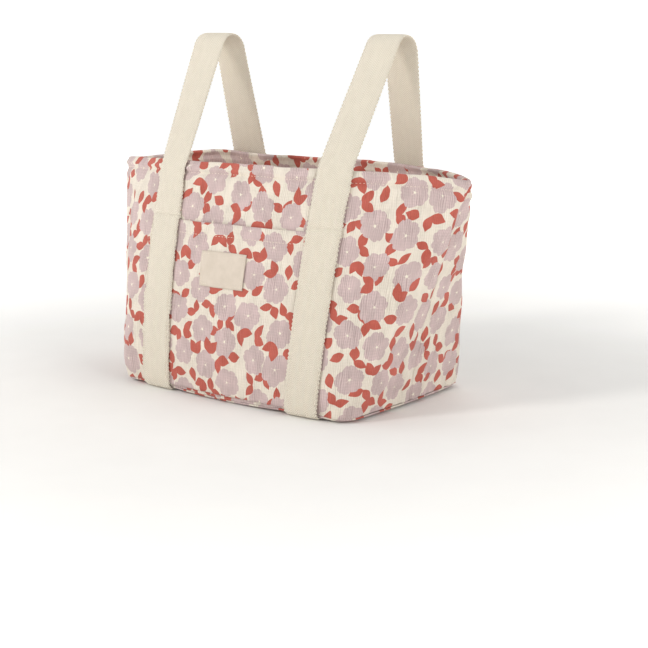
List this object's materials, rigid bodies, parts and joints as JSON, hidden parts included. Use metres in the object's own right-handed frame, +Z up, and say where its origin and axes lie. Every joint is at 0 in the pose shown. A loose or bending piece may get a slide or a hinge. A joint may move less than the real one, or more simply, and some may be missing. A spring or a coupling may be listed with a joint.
{
  "type": "diaper bag",
  "caption": "Small padded cotton bag with a flower print, a front patch pocket, a zip closure sunk below the rim and webbing straps that loop over a stroller handlebar.",
  "frame": {"origin": "middle of the bounding box's underside, on the surface that the base stands on", "axes": "+X along the bag's width, towards its right strap; -Y out of the front; +Z up"},
  "size_m": [0.3618, 0.196, 0.308],
  "materials": {
    "printed_cotton": "crinkled double cotton gauze, printed with pink flowers and coral leaves on cream",
    "lining_cotton": "plain woven cotton",
    "wadding": "soft polyester wadding",
    "board": "matte stiffening board",
    "cotton_webbing": "ecru cotton webbing, herringbone weave",
    "label_cotton": "plain woven label, blank",
    "loop_pile": "soft loop pile",
    "hook_tape": "short stiff hooks",
    "zip_tape": "woven zip tape",
    "zip_teeth": "nylon coil",
    "zip_metal": "satin pale brass"
  },
  "bodies": {
    "bag": {"back_facing": "printed_cotton", "back_lining": "lining_cotton", "back_wadding": "wadding", "base_board": "board", "base_lining": "lining_cotton", "fastener_loop_pad_left": "loop_pile", "fastener_loop_pad_right": "loop_pile", "front_facing": "printed_cotton", "front_lining": "lining_cotton", "front_patch_pocket": "printed_cotton", "front_wadding": "wadding", "inner_slip_pocket": "lining_cotton", "label_patch": "label_cotton", "outer_back_panel": "printed_cotton", "outer_base_panel": "printed_cotton", "outer_front_panel": "printed_cotton", "strap_left_back": "cotton_webbing", "strap_left_base": "cotton_webbing", "strap_left_front": "cotton_webbing", "strap_right_back": "cotton_webbing", "strap_right_base": "cotton_webbing", "strap_right_front": "cotton_webbing", "zip_border_back": "printed_cotton", "zip_border_front": "printed_cotton", "zip_end_tab_left": "printed_cotton", "zip_end_tab_right": "printed_cotton"},
    "zip_front_half": {"zip_flap_front": "printed_cotton", "zip_tape_front": "zip_tape", "zip_teeth_front": "zip_teeth"},
    "zip_back_half": {"zip_flap_back": "printed_cotton", "zip_tape_back": "zip_tape", "zip_teeth_back": "zip_teeth"},
    "slider": {"zip_slider": "zip_metal"},
    "pull": {"zip_pull": "zip_metal"},
    "left_loop": {"strap_left_loop": "cotton_webbing", "fastener_hook_pad_left": "hook_tape"},
    "right_loop": {"strap_right_loop": "cotton_webbing", "fastener_hook_pad_right": "hook_tape"}
  },
  "joints": [
    {"name": "zip_slide", "type": "slide", "parent": "bag", "child": "slider", "axis": [1, 0, 0], "range_m": [-0.25, 0]},
    {"name": "zip_pull_swing", "type": "hinge", "parent": "slider", "child": "pull", "pos_m": [0.125, 0, 0.1803], "axis": [0, 1, 0], "range_deg": [0, 180]},
    {"name": "closure_front_fold", "type": "hinge", "parent": "bag", "child": "zip_front_half", "pos_m": [0, -0.038, 0.176], "axis": [1, 0, 0], "range_deg": [-85, 0]},
    {"name": "closure_back_fold", "type": "hinge", "parent": "bag", "child": "zip_back_half", "pos_m": [0, 0.038, 0.176], "axis": [1, 0, 0], "range_deg": [0, 85]},
    {"name": "strap_left_open", "type": "hinge", "parent": "bag", "child": "left_loop", "pos_m": [-0.0799, -0.05654, 0.2002], "axis": [0.9873, -0.1586, 0], "range_deg": [0, 100]},
    {"name": "strap_right_open", "type": "hinge", "parent": "bag", "child": "right_loop", "pos_m": [0.08182, -0.05621, 0.2002], "axis": [0.9859, 0.1672, 0], "range_deg": [0, 100]}
  ]
}
